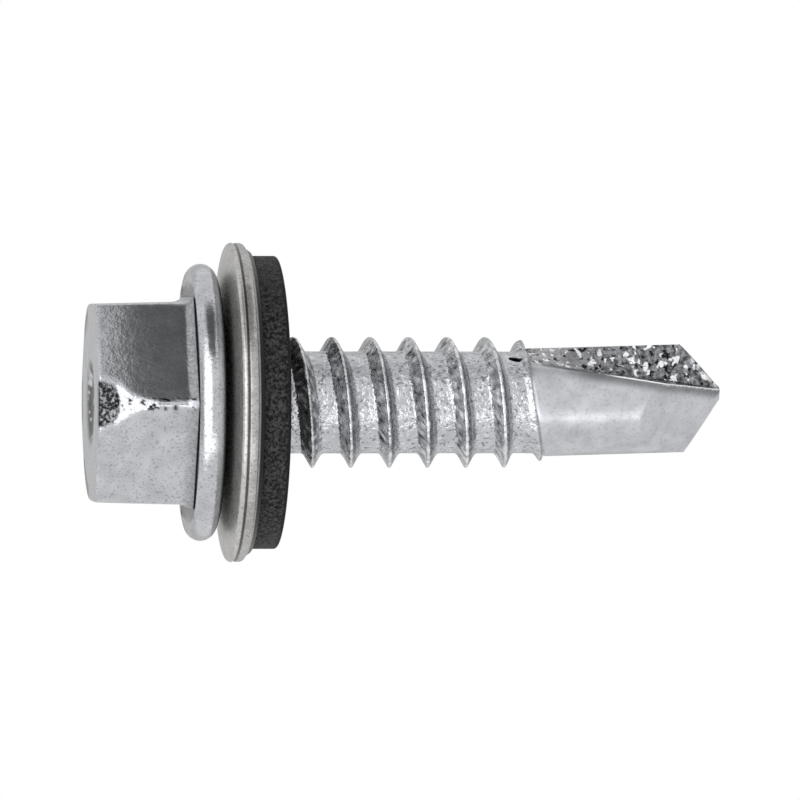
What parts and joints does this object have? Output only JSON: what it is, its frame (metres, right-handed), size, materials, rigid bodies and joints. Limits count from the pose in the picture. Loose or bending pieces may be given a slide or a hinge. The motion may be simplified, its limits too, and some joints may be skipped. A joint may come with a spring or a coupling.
{
  "type": "self drilling screw",
  "caption": "Hex washer head self drilling screw with a forged drill point, a spaced thread and a captive steel and rubber sealing washer.",
  "frame": {"origin": "centre of the flat end of the head, which the screw stands on", "axes": "+Z along the screw's axis from the head to the drill point, -Y through one corner of the hexagon"},
  "size_m": [0.0148, 0.0148, 0.0297],
  "materials": {
    "zinc_plated_steel": "bright bluish zinc plating, lightly mottled",
    "washer_steel": "satin galvanised sheet",
    "black_rubber": "matt, fine grained"
  },
  "bodies": {
    "screw": {"screw": "zinc_plated_steel"},
    "sealing_washer": {"metal_washer": "washer_steel", "rubber_seal": "black_rubber"}
  },
  "joints": [
    {"name": "washer_spin", "type": "hinge", "parent": "screw", "child": "sealing_washer", "pos_m": [0, 0, 0.0065], "axis": [0, 0, 1], "continuous": true}
  ]
}
